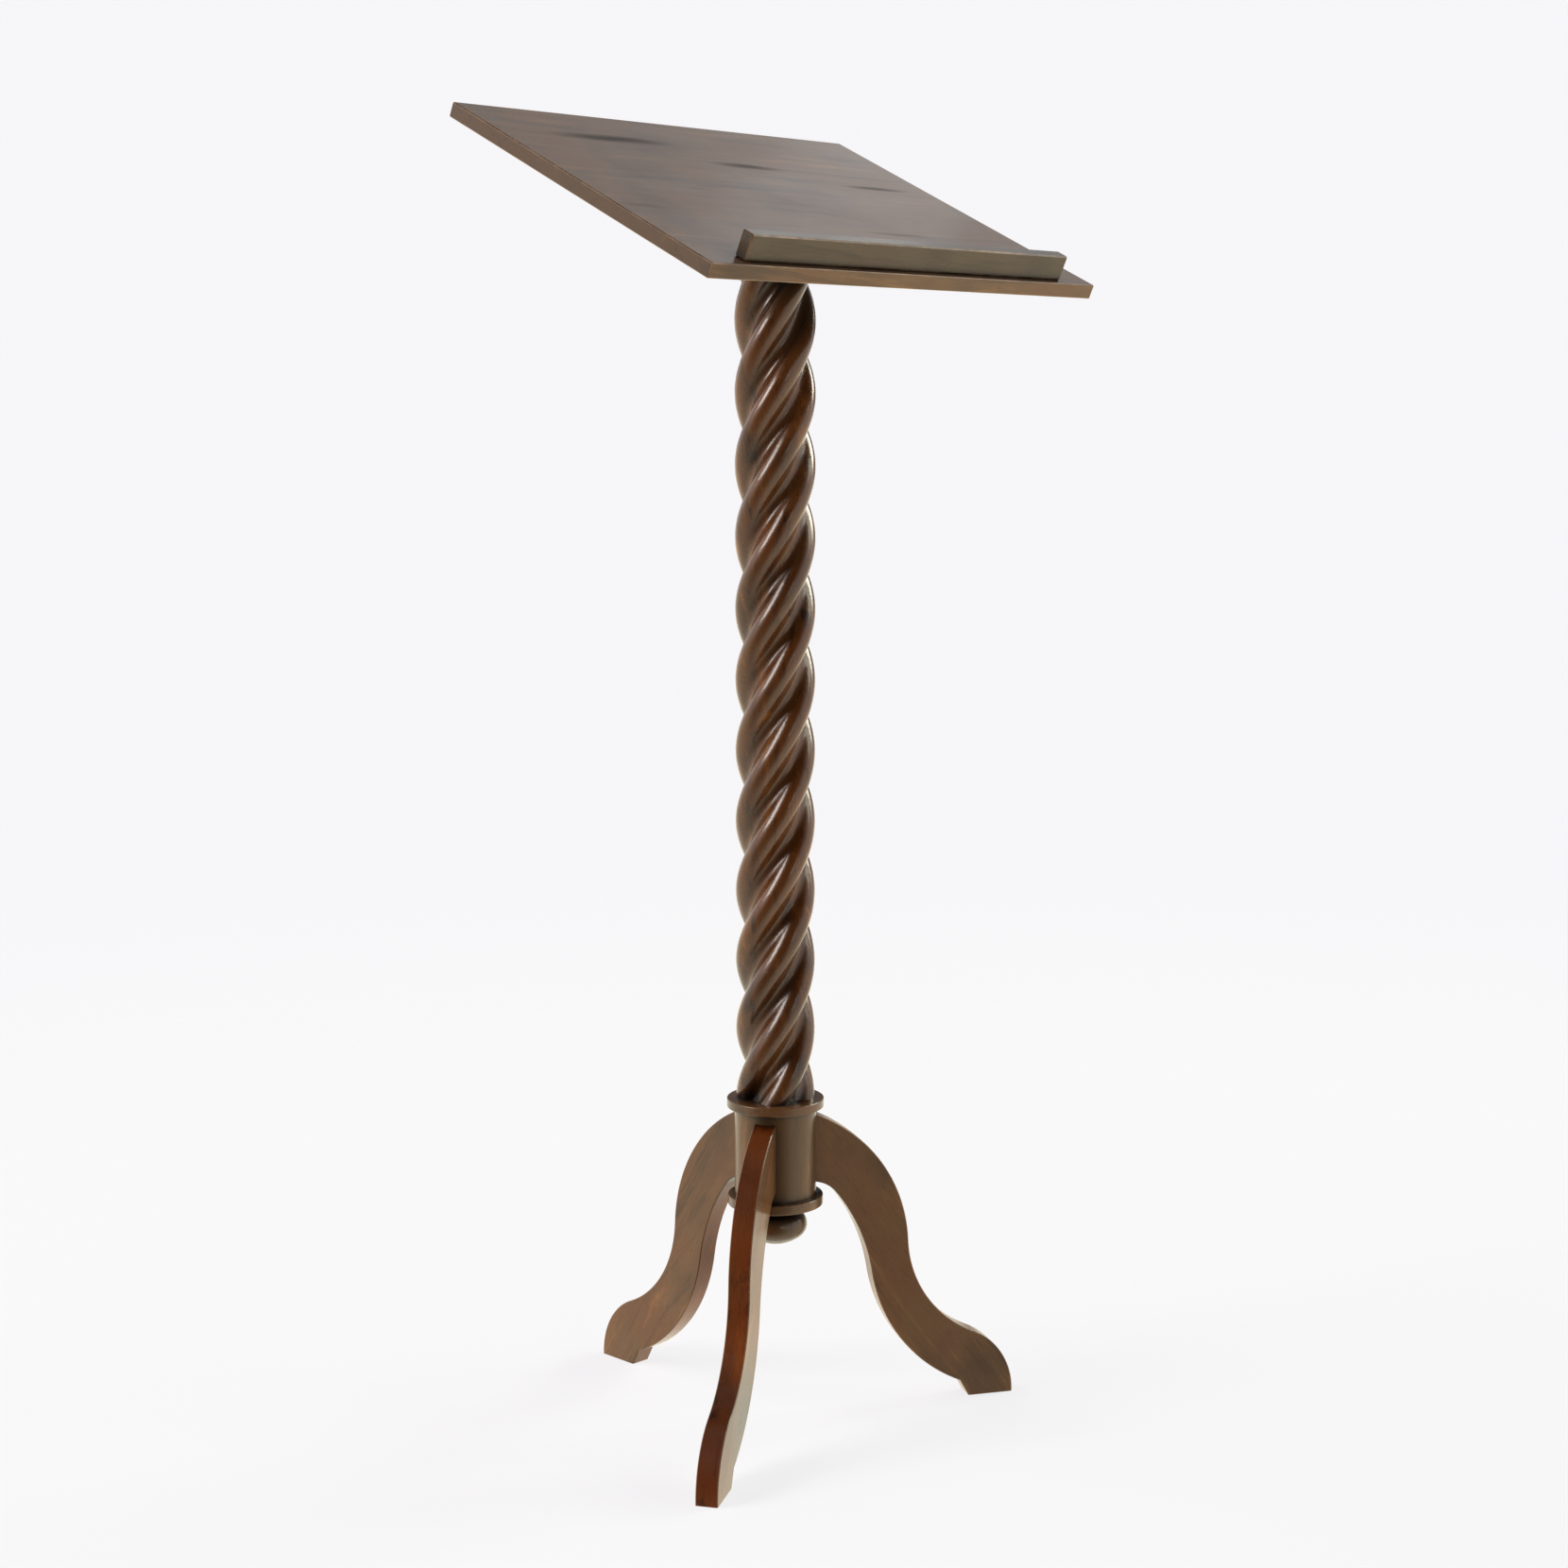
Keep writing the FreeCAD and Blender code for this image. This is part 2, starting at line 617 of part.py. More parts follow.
def make_head_block():
    """The turned base sits on the column and carries the post that the cheeks straddle."""
    body = make_body("head_block", place(z="column_top"))
    rise = "pivot_height - column_top"
    turned = make_sketch(body, "XZ_Plane")
    outline = Outline(turned, "0", "0")
    outline.line_to("head_radius", "0")
    outline.line_to("head_radius", "head_rim")
    outline.arc_to("cove_inner", "head_cove", "cove_radius", "right")
    outline.line_to("0", "head_cove")
    outline.close()
    revolve(body, turned, "V_Axis")

    post = make_sketch(body, "YZ_Plane")
    half = "post_width / 2"
    outline = Outline(post, f"-{half}", "0")
    outline.line_to(half, "0")
    outline.line_to(half, rise)
    outline.arc_to("0", f"{rise} + {half}", half, "left")
    outline.arc_to(f"-{half}", rise, half, "left")
    outline.close()
    both_sides(add_feature(body, "Pad", post, Length="post_thick"))

    socket = make_sketch(body, "XY_Plane")
    add_circle(socket, "0", "0", "top_tenon_radius + glue_gap")
    cut_forward(add_feature(body, "Pocket", socket, Length="top_tenon_length + glue_gap"))
    check_cut(body, "the head's socket")

    bore = make_sketch(body, "YZ_Plane")
    add_circle(bore, "0", rise, "bolt_radius + running_gap")
    both_sides(add_feature(body, "Pocket", bore, Length="post_thick + 2 * overshoot"))
    check_cut(body, "the head's bore")

    peg = make_sketch(body, "XZ_Plane")
    add_circle(peg, "0", "pin_rise", "pin_radius + glue_gap")
    both_sides(add_feature(body, "Pocket", peg, Length="post_width + 2 * overshoot"))
    check_cut(body, "the head's peg hole")
    return body


def make_head_pin():
    placement = place("0", "post_width / 2", "column_top + pin_rise", Rotation(X_AXIS, 90))
    pin = cylinder("head_pin", "pin_radius", "post_width", placement)
    pin.Label = "head_pin"
    return pin


def strand_section():
    """The column's section: round strands joined by hollows, each hollow tangent to both strands."""
    crest, strand, valley = size("twist_radius"), size("strand_radius"), size("valley_radius")
    step = 2 * math.pi / STRANDS
    offset = crest - strand
    # The hollow's centre is on the line half way between two strands, and outside them.
    along = offset * math.cos(step / 2)
    hollow = along + math.sqrt((strand + valley) ** 2 - (offset * math.sin(step / 2)) ** 2)
    share = strand / (strand + valley)
    touch_x = offset + (hollow * math.cos(step / 2) - offset) * share
    touch_y = hollow * math.sin(step / 2) * share
    touch_radius, touch_angle = math.hypot(touch_x, touch_y), math.atan2(touch_y, touch_x)

    def spot(radius, angle):
        return Vector(radius * math.cos(angle), radius * math.sin(angle), 0)

    edges = []
    for number in range(STRANDS):
        angle = number * step
        leaving, arriving = angle + touch_angle, angle + step - touch_angle
        strand_arc = Part.Arc(spot(touch_radius, angle - touch_angle), spot(crest, angle),
                              spot(touch_radius, leaving))
        hollow_arc = Part.Arc(spot(touch_radius, leaving), spot(hollow - valley, angle + step / 2),
                              spot(touch_radius, arriving))
        edges += [strand_arc.toShape(), hollow_arc.toShape()]
    return Part.Wire(edges)


def make_twist():
    """The section swept up the axis and turned by a helix, rising to the right at the front."""
    height = size("column_top - upper_collar_top")
    spine = Part.Wire([Part.makeLine(Vector(), Vector(0, 0, height))])
    helix = Part.makeHelix(size("twist_lead"), height, size("twist_radius"))
    sweep = Part.BRepOffsetAPI.MakePipeShell(spine)
    sweep.setAuxiliarySpine(Part.Wire(helix.Edges), True, 0)
    sweep.add(strand_section(), False, False)
    sweep.build()
    sweep.makeSolid()
    twist = doc.addObject("Part::Feature", "twist")
    twist.Shape = sweep.shape()
    twist.Placement = place(z="upper_collar_top", rotation=Rotation(Z_AXIS, size("twist_phase")))
    return twist


def make_column():
    """The twisted shaft with a stout tenon for the hub and a slim one for the head."""
    foot = "upper_collar_top - foot_tenon_length"
    foot_tenon = cylinder("foot_tenon", "foot_tenon_radius - glue_gap", "foot_tenon_length + overshoot",
                          place(z=foot))
    top_tenon = cylinder("top_tenon", "top_tenon_radius", "top_tenon_length + overshoot",
                         place(z="column_top - overshoot"))
    shaft = fuse("shaft", [make_twist(), foot_tenon, top_tenon])
    below = place(z=f"{foot} - overshoot")
    insert_hole = cylinder("insert_hole", "insert_radius + glue_gap", "insert_length + overshoot", below)
    rod_hole = cylinder("rod_hole", "rod_radius + loose_gap", "foot_tenon_length / 2 + overshoot", below)
    peg_hole = cylinder("peg_hole", "pin_radius + glue_gap", "4 * top_tenon_radius",
                        place("0", "2 * top_tenon_radius", "column_top + pin_rise", Rotation(X_AXIS, 90)))
    return cut("column", shaft, fuse("column_holes", [insert_hole, rod_hole, peg_hole]))


# ---------------------------------------------------------------- the hub and what hangs on it

HUB_TOP = "upper_collar_top - upper_collar_thick"
HUB_BOTTOM = f"{HUB_TOP} - hub_height"
COLLAR_BOTTOM = f"{HUB_BOTTOM} - lower_collar_thick"


def make_collar(label, bottom, radius, bore, thick):
    """A flat turned ring with rounded outer edges."""
    body = make_body(label, place(z=bottom))
    sketch = make_sketch(body, "XY_Plane")
    add_circle(sketch, "0", "0", radius)
    add_circle(sketch, "0", "0", bore)
    add_feature(body, "Pad", sketch, Length=thick)
    outside = size(radius) - TOLERANCE
    round_edges(body, "collar_edge",
                lambda middle, edge: math.hypot(middle.x, middle.y) > outside and len(edge.Vertexes) == 1)
    return body


def dovetail(sketch, outward, reach, clearance):
    """The dovetail seen from above, narrow at the hub's face and wide at its tip."""
    flare = "(tongue_wide - tongue_root) / (hub_radius - tongue_tip)"
    narrow = f"(tongue_root + {clearance} - ({reach} - hub_radius) * {flare})"
    wide = f"(tongue_wide + {clearance})"
    tip = f"(tongue_tip - {clearance})"
    corners = [(tip, f"-{wide}"), (reach, f"-{narrow}"), (reach, narrow), (tip, wide)]
    if outward == "Y":
        corners = [(f"-({across})", along) for along, across in corners]
    outline = Outline(sketch, *corners[0])
    for corner in corners[1:]:
        outline.line_to(*corner)
    outline.close()


def make_hub():
    """The turned hub: a deep socket for the column, and three dovetail slots open at the bottom."""
    body = make_body("hub", place(z=HUB_BOTTOM))
    sketch = make_sketch(body, "XY_Plane")
    add_circle(sketch, "0", "0", "hub_radius")
    add_feature(body, "Pad", sketch, Length="hub_height")

    socket = make_sketch(body, "XY_Plane", "hub_height")
    add_circle(socket, "0", "0", "foot_tenon_radius")
    depth = "foot_tenon_length - upper_collar_thick + glue_gap"
    add_feature(body, "Pocket", socket, Length=depth)
    check_cut(body, "the hub's socket")

    rod_hole = make_sketch(body, "XY_Plane")
    add_circle(rod_hole, "0", "0", "rod_radius + loose_gap")
    cut_forward(add_feature(body, "Pocket", rod_hole, Length="hub_height / 2"))
    check_cut(body, "the hub's rod hole")

    slot = make_sketch(body, "XY_Plane")
    dovetail(slot, "Y", "hub_radius + 2 * overshoot", "glue_gap")
    pocket = cut_forward(add_feature(body, "Pocket", slot, Length=f"tongue_top + glue_gap - ({HUB_BOTTOM})"))
    check_cut(body, "the hub's dovetail slot")
    polar_pattern(body, pocket, "Z_Axis", len(LEG_ANGLES))
    return body


def make_leg(label, angle):
    """A flat-sawn S-curved leg. Its own +X runs outward, and its foot stands flat on the floor."""
    body = make_body(label, place(rotation=Rotation(Z_AXIS, angle)))
    sketch = make_sketch(body, "XZ_Plane")
    outline = Outline(sketch, "leg_inside", "leg_top")
    outline.arc_to("waist_reach", "waist_height", "shoulder_radius", "right")
    outline.arc_to("instep_reach", "instep_height", "calf_radius", "left")
    outline.arc_to("toe_reach", "0", "toe_radius", "right")
    outline.line_to("heel_reach", "0")
    outline.line_to("heel_top_reach", "heel_top_height")
    outline.arc_to("knee_reach", "knee_height", "under_radius", "right")
    outline.arc_to("arch_reach", "arch_height", "thigh_radius", "left")
    outline.arc_to("leg_inside", "leg_under", "arch_radius", "left")
    outline.close()
    both_sides(add_feature(body, "Pad", sketch, Length="leg_thick"))

    cope = make_sketch(body, "XY_Plane", "leg_top + overshoot")
    add_circle(cope, "0", "0", "hub_radius")
    add_feature(body, "Pocket", cope, Length="leg_top")
    check_cut(body, f"{label}'s cope")

    # The long edges are eased; the sole and the joint with the hub stay square.
    side, joint, sole = size("leg_thick / 2") - TOLERANCE, size("hub_radius"), TOLERANCE
    round_edges(body, "leg_edge",
                lambda middle, edge: abs(middle.y) > side and middle.x > joint and middle.z > sole,
                "Chamfer")

    tongue = make_sketch(body, "XY_Plane", "tongue_split")
    dovetail(tongue, "X", "hub_radius + tongue_root_overlap", "0")
    add_feature(body, "Pad", tongue, Length="tongue_top - tongue_split")

    tail = make_sketch(body, "XY_Plane", f"{HUB_BOTTOM} + glue_gap")
    dovetail(tail, "X", "hub_radius - tongue_setback", "0")
    add_feature(body, "Pad", tail, Length=f"tongue_split - ({HUB_BOTTOM} + glue_gap)")
    return body


def make_rod_insert():
    """The threaded insert in the foot of the column."""
    bottom = place(z="upper_collar_top - foot_tenon_length")
    return ring("rod_insert", "insert_radius", "rod_radius + glue_gap", "insert_length", bottom)


def make_tie_rod():
    rod = cylinder("tie_rod", "rod_radius", "rod_length", place(z="rod_bottom"))
    rod.Label = "tie_rod"
    return rod


def make_tie_washer():
    bottom = place(z=f"{COLLAR_BOTTOM} - washer_thick")
    return ring("tie_washer", "tie_washer_radius", "rod_radius + glue_gap", "washer_thick", bottom)


def make_tie_nut():
    """The hexagon nut that pulls the lower collar, the hub and the column together."""
    bottom = place(z=f"{COLLAR_BOTTOM} - washer_thick - nut_thick")
    blank = doc.addObject("Part::Prism", "nut_blank")
    blank.Polygon = 6
    bind(blank, Circumradius="nut_across / sqrt(3)", Height="nut_thick")
    blank.Placement = bottom
    return cut("tie_nut", blank, cylinder("nut_hole", "rod_radius + glue_gap", "nut_thick", bottom))


def make_finial():
    """A squat ball below the lower collar, with a recess around the tie nut."""
    body = make_body("finial", place(z=f"{COLLAR_BOTTOM} - finial_height"))
    belly = "finial_radius - belly_radius"
    # The bottom's arc and the belly's arc meet on the line through their centres.
    run, rise = size(belly), size("bottom_radius - finial_belly")
    share = size("bottom_radius") / math.hypot(run, rise)
    join_x, join_z = run * share, size("bottom_radius") - rise * share
    slope_start = "finial_neck + neck_slope_width"
    neck_rise = math.sqrt(size("belly_radius") ** 2 - size(f"{slope_start} - ({belly})") ** 2)
    sketch = make_sketch(body, "XZ_Plane")
    outline = Outline(sketch, "0", "0")
    outline.arc_to(f"{join_x}", f"{join_z}", "bottom_radius", "left")
    outline.arc_to("finial_radius", "finial_belly", "belly_radius", "left")
    outline.arc_to(slope_start, f"finial_belly + {neck_rise}", "belly_radius", "left")
    outline.line_to("finial_neck", f"finial_belly + {neck_rise} + neck_slope_height")
    outline.line_to("finial_neck", "finial_height")
    outline.line_to("0", "finial_height")
    outline.close()
    revolve(body, sketch, "V_Axis")

    recess = make_sketch(body, "XY_Plane", "finial_height")
    add_circle(recess, "0", "0", "pocket_radius")
    add_feature(body, "Pocket", recess, Length="pocket_depth")
    check_cut(body, "the finial's recess")

    insert_hole = make_sketch(body, "XY_Plane", "finial_height")
    add_circle(insert_hole, "0", "0", "insert_radius + glue_gap")
    add_feature(body, "Pocket", insert_hole, Length="pocket_depth + insert_length + glue_gap")
    check_cut(body, "the finial's insert hole")

    rod_hole = make_sketch(body, "XY_Plane", "finial_height")
    add_circle(rod_hole, "0", "0", "rod_radius + loose_gap")
    add_feature(body, "Pocket", rod_hole, Length=f"{COLLAR_BOTTOM} - rod_bottom + rod_end_gap")
    check_cut(body, "the finial's rod hole")
    return body


def make_finial_insert():
    bottom = place(z=f"{COLLAR_BOTTOM} - pocket_depth - insert_length")
    return ring("finial_insert", "insert_radius", "rod_radius + glue_gap", "insert_length", bottom)


# ---------------------------------------------------------------- build, check, write


def build_all():
    parts = [
        make_board(),
        make_ledge(),
        make_ledge_dowels(),
        make_cheek_left(),
        make_cheek("cheek_right", ""),
        make_cheek_screws(),
        make_pivot_bolt(),
        make_friction_discs(),
        make_pivot_washer(),
        make_clamp_knob(),
        make_head_block(),
        make_head_pin(),
        make_column(),
        make_collar("collar_upper", HUB_TOP, "upper_collar_radius", "foot_tenon_radius",
                    "upper_collar_thick"),
        make_hub(),
        make_collar("collar_lower", COLLAR_BOTTOM, "lower_collar_radius", "rod_radius + loose_gap",
                    "lower_collar_thick"),
        make_rod_insert(),
        make_tie_rod(),
        make_tie_washer(),
        make_tie_nut(),
        make_finial(),
        make_finial_insert(),
    ]
    parts += [make_leg(label, angle) for label, angle in LEG_ANGLES.items()]
    doc.recompute()
    return parts


def check_all(parts):
    failed = [item.Label for item in doc.Objects if {"Invalid", "Error"} & set(item.State)]
    if failed:
        sys.exit(f"failed objects: {failed}")
    for part in parts:
        if part.Shape.isNull() or not part.Shape.isValid() or not part.Shape.Solids:
            sys.exit(f"{part.Label} has no valid solid")


parts = build_all()
check_all(parts)
os.makedirs("parts", exist_ok=True)
for part in parts:
    part.Shape.exportStep(f"parts/{part.Label}.step")
    box = part.Shape.BoundBox
    low = f"{box.XMin:8.1f} {box.YMin:8.1f} {box.ZMin:8.1f}"
    high = f"{box.XMax:8.1f} {box.YMax:8.1f} {box.ZMax:8.1f}"
    print(f"{part.Label:16s} {len(part.Shape.Solids)} solids  {low}   {high}")
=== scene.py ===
import math
from collections import namedtuple

import bpy
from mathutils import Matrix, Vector


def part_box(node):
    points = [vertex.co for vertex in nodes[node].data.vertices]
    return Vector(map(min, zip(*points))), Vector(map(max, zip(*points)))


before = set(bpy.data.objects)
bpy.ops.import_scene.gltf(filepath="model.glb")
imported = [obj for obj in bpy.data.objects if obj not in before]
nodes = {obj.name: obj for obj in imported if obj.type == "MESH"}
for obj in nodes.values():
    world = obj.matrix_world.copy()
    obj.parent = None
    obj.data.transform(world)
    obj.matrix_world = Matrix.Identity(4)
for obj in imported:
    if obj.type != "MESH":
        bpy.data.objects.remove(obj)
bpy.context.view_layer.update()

# A wooden album stand with a tilting desk on a barley-twist column. Metres, in the row frame.
# The CAD nodes carry the shapes; this script gives them their finishes, the light and the camera.

# ---------------------------------------------------------------- shader graph helper

# A noise: its scale (one number, or one for each axis), octaves, roughness and distortion.
Noise = namedtuple("Noise", "scale detail roughness distortion", defaults=(0.5, 0.0))
AO_SAMPLES, BEVEL_SAMPLES = 8, 6
# How far the rounded normal has turned away where an edge's mask starts and where it is full.
EDGE_TURN = (0.02, 0.25)


class Graph:
    """A node tree that is written as nested calls."""

    def __init__(self, tree):
        self.tree = tree
        tree.nodes.clear()

    def add(self, kind, inputs=None, **settings):
        node = self.tree.nodes.new(kind)
        for key, value in settings.items():
            setattr(node, key, value)
        for key, value in (inputs or {}).items():
            self.feed(node.inputs[key], value)
        return node

    def feed(self, socket, value):
        if isinstance(value, bpy.types.NodeSocket):
            self.tree.links.new(value, socket)
        elif value is not None:
            socket.default_value = value

    def math(self, operation, first, second=None):
        return self.add("ShaderNodeMath", {0: first, 1: second}, operation=operation).outputs[0]

    def vector_math(self, operation, first, second=None, output="Vector"):
        node = self.add("ShaderNodeVectorMath", {0: first, 1: second}, operation=operation)
        return node.outputs[output]

    def scaled(self, vector, factors):
        return self.vector_math("MULTIPLY", vector, factors)

    def length(self, vector):
        return self.vector_math("LENGTH", vector, output="Value")

    def along(self, vector, axis):
        return self.vector_math("DOT_PRODUCT", vector, axis, "Value")

    def along_either_way(self, vector, axis):
        return self.math("ABSOLUTE", self.along(vector, axis))

    def noise(self, vector, pattern, output="Fac"):
        scale = pattern.scale
        if isinstance(scale, tuple):
            vector, scale = self.scaled(vector, scale), 1.0
        node = self.add("ShaderNodeTexNoise", {
            "Vector": vector, "Scale": scale, "Detail": pattern.detail,
            "Roughness": pattern.roughness, "Distortion": pattern.distortion,
        })
        return node.outputs[output]

    def between(self, value, low, high, out_low=0.0, out_high=1.0):
        """Goes smoothly from out_low to out_high as the value goes from low to high."""
        node = self.add("ShaderNodeMapRange", {
            "Value": value, "From Min": low, "From Max": high,
            "To Min": out_low, "To Max": out_high,
        }, clamp=True, interpolation_type="SMOOTHSTEP")
        return node.outputs["Result"]

    def mix(self, factor, first, second, blend="MIX"):
        node = self.add("ShaderNodeMix", data_type="RGBA", blend_type=blend)
        self.feed(node.inputs["Factor"], factor)
        sockets = [s for s in node.inputs if s.type == "RGBA"]
        self.feed(sockets[0], first)
        self.feed(sockets[1], second)
        return [s for s in node.outputs if s.type == "RGBA"][0]

    def ramp(self, value, stops):
        node = self.add("ShaderNodeValToRGB", {"Fac": value})
        elements = node.color_ramp.elements
        while len(elements) < len(stops):
            elements.new(0.5)
        for element, (position, colour) in zip(elements, stops):
            element.position = position
            element.color = colour
        return node.outputs["Color"]

    def openness(self, distance):
        """The share of the surroundings, up to that distance, that is open. 1 is all of it."""
        return self.add("ShaderNodeAmbientOcclusion", {"Distance": distance},
                        samples=AO_SAMPLES).outputs["AO"]

    def edges(self, radius):
        """1 along sharp edges, outer and inner, and 0 on flat faces."""
        rounded = self.add("ShaderNodeBevel", {"Radius": radius}, samples=BEVEL_SAMPLES)
        true_normal = self.add("ShaderNodeNewGeometry").outputs["Normal"]
        agreement = self.along(rounded.outputs["Normal"], true_normal)
        return self.between(self.math("SUBTRACT", 1.0, agreement), *EDGE_TURN)

    def bump(self, height, strength, distance, invert=False):
        node = self.add("ShaderNodeBump", {
            "Height": height, "Strength": strength, "Distance": distance,
        }, invert=invert)
        return node.outputs["Normal"]

    def finish(self, **inputs):
        """A principled surface; an underscore in a name stands for a space."""
        shader = self.add("ShaderNodeBsdfPrincipled",
                          {name.replace("_", " "): value for name, value in inputs.items()})
        self.add("ShaderNodeOutputMaterial", {"Surface": shader.outputs["BSDF"]})


def linear(text):
    """A display colour written as six hex digits, as the linear colour that shaders take."""
    values = [int(text[i:i + 2], 16) / 255 for i in (0, 2, 4)]
    return tuple(v / 12.92 if v <= 0.04045 else ((v + 0.055) / 1.055) ** 2.4
                 for v in values) + (1.0,)


def new_material(name):
    material = bpy.data.materials.new(name)
    material.use_nodes = True
    return material, Graph(material.node_tree)


# ---------------------------------------------------------------- wood

# Lightens the edges: worn wood, and also a painted highlight along the rounded edges.
WEAR_AND_HIGHLIGHT_TONE = linear("8a5a34")
# A painted highlight along the rounded edges of the desk's board and ledge.
DESK_EDGE_HIGHLIGHT = linear("b3937a")
STREAK_BLACK = linear("140a06")
# Painted shade, darkening the hollows and joints.
HOLLOW_SHADE = linear("100703")
# Painted shadow under the desk, darkening the top of the column.
UNDER_DESK_SHADOW = linear("0a0402")
# Each set of tones: dark, middle and light fibres.
WALNUT = (linear("38200b"), linear("613d1a"), linear("845224"))
BOARD = (linear("4a3017"), linear("6b4a27"), linear("8a6338"))
LEDGE = (linear("312210"), linear("513d23"), linear("6f5535"))
RUSSET = (linear("2c1304"), linear("5e3715"), linear("865422"))
TURNED = (linear("37220d"), linear("5b3d1c"), linear("7a5127"))
COLLAR = (linear("3f2a15"), linear("66472b"), linear("87603d"))
REDDISH = (linear("391703"), linear("6d370b"), linear("8f4b10"))
OLIVE = (linear("442b15"), linear("6f4b2a"), linear("946c40"))
GREYED = (linear("3d2710"), linear("6a4625"), linear("8f6033"))
BEECH = (linear("8a6238"), linear("b08653"), linear("c79e68"))
# Slow changes of tint over a piece.
CLOUD_TINTS = ((0.32, linear("a59484")), (0.50, linear("ffffff")), (0.70, linear("ffdcb4")))

# The grain's axes: along the fibres, and square to a plank's broad faces.
FIBRE_AXIS = (1, 0, 0)
BROAD_AXIS = (0, 1, 0)

WAVER = Noise(7.0, 2.0)
BANDS = Noise((5.0, 75.0, 75.0), 3.0, 0.55, 0.6)
FIBRES = Noise((45.0, 900.0, 900.0), 3.0, 0.6)
PORES = Noise((70.0, 1500.0, 1500.0), 1.0)
CLOUDS = Noise(9.0, 3.0, 0.55)
EDGE_LIGHTENING = Noise(40.0, 3.0, 0.6)
SMUDGES = Noise((7.0, 16.0, 16.0), 2.0)

WAVER_MIDDLE = (0.5, 0.5, 0.5)
WAVER_REACH = (0.0, 0.02, 0.02)
RAGGEDNESS = (0, 0.6, 0.6)      # how much of the waver the outline of a mark follows
BAND_SHARE, FIBRE_SHARE = 0.75, 0.25
TONE_STOPS = (0.30, 0.46, 0.56, 0.72)

# Each pair: where a mask starts and where it is full.
END_FACE = (0.6, 0.9)
BROAD_FACE = (0.4, 0.8)
PORE = (0.60, 0.72)
HOLLOW = (0.90, 0.35)
ROOFED = (0.75, 0.35)
ROUNDED = (0.97, 0.85)
EDGE_LIGHTENING_SPAN = (0.35, 0.7)
SMUDGE_SPAN = (0.2, 0.8)

# How strongly each one shows.
PORE_TONE = 0.5
HOLLOW_SHADE_TONE = 0.92
EDGE_LIGHTENING_TONE = (0.1, 0.6)
ROUGHENING = 0.06               # what fibres and the mask of the painted hollow shade add to the roughness
EDGE_POLISH = 0.08              # what an edge takes from it
FIBRE_HEIGHT, PORE_HEIGHT = 0.5, 0.8
WOOD_BUMP, WOOD_RELIEF = 0.2, 0.0002

UNDER_DESK_SHADOW_REACH = 0.14
WOOD_EDGE = 0.0016
WOOD_IOR = 1.5
VARNISH_ROUGHNESS, VARNISH_IOR = 0.1, 1.4


def turned_to_grain(g, turns):
    """The place and the normal, taken from the object's axes to the grain's."""
    source = g.add("ShaderNodeTexCoord")
    place, facing = source.outputs["Object"], source.outputs["Normal"]
    for turn in turns:
        place = g.add("ShaderNodeMapping", {"Vector": place, "Rotation": turn}).outputs["Vector"]
        facing = g.add("ShaderNodeMapping", {"Vector": facing, "Rotation": turn},
                       vector_type="VECTOR").outputs["Vector"]
    return place, facing


def painted(g, figure, tones):
    dark, middle, light = tones
    return g.ramp(figure, list(zip(TONE_STOPS, (dark, middle, middle, light))))


def stained(g, place, marks):
    """The strength of the dark marks: middle, half length, half width, full strength of each."""
    stain = 0.0
    for middle, half_length, half_width, strength in marks:
        from_middle = g.vector_math("SUBTRACT", place, middle)
        away = g.scaled(from_middle, (1 / half_length, 1 / half_width, 0))
        stain = g.math("MAXIMUM", stain, g.between(g.length(away), 1.0, 0.0, 0.0, strength))
    return stain


def edges_for_wear_and_highlight(g, facing, square):
    edges = g.edges(WOOD_EDGE)
    # On a box the mask spreads over the whole rounded edges, so the painted highlight runs along
    # them.
    if square:
        # The rounded edges of a box are where the surface faces along none of its three axes.
        parts = g.add("ShaderNodeSeparateXYZ",
                      {"Vector": g.vector_math("ABSOLUTE", facing)}).outputs
        straightest = g.math("MAXIMUM", g.math("MAXIMUM", parts[0], parts[1]), parts[2])
        edges = g.math("MAXIMUM", edges, g.between(straightest, *ROUNDED))
    return edges


